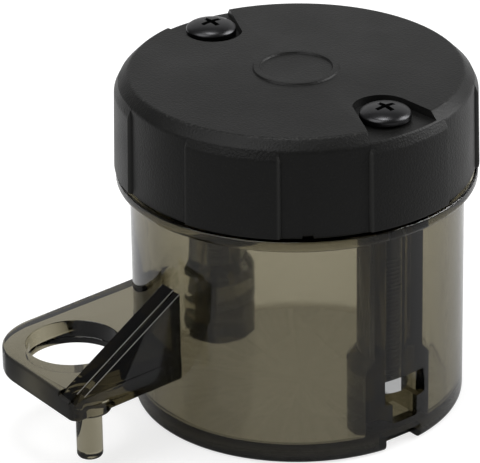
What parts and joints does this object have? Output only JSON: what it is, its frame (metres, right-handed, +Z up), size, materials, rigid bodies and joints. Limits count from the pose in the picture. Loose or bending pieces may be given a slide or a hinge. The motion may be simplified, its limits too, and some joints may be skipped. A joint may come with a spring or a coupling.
{
  "type": "brake fluid reservoir",
  "caption": "Round clear smoke-tinted brake fluid cup with a screwed black cap, a mounting ear with hole, gusset and locating pin, and a hose outlet.",
  "frame": {"origin": "centre of the cup's flat underside", "axes": "+Z up along the cup's axis, -X towards the mounting ear, +Y towards the rear cap screw"},
  "size_m": [0.0854, 0.0586, 0.058],
  "materials": {
    "smoke_plastic": "clear smoke tint, polished",
    "black_plastic": "fine spark-eroded grain",
    "black_rubber": "matt",
    "black_zinc_steel": "black zinc plated",
    "bright_zinc_steel": "bright zinc plated"
  },
  "bodies": {
    "reservoir": {"reservoir_body": "smoke_plastic", "hex_nut_front": "bright_zinc_steel", "hex_nut_rear": "bright_zinc_steel"},
    "cap": {"cap": "black_plastic", "diaphragm": "black_rubber"},
    "screw_front": {"cap_screw_front": "black_zinc_steel"},
    "screw_rear": {"cap_screw_rear": "black_zinc_steel"}
  },
  "joints": [
    {"name": "cap_lift", "type": "slide", "parent": "reservoir", "child": "cap", "axis": [0, 0, 1], "range_m": [0, 0.04]},
    {"name": "screw_front_out", "type": "slide", "parent": "cap", "child": "screw_front", "axis": [0, 0, 1], "range_m": [0, 0.05]},
    {"name": "screw_rear_out", "type": "slide", "parent": "cap", "child": "screw_rear", "axis": [0, 0, 1], "range_m": [0, 0.05]}
  ]
}
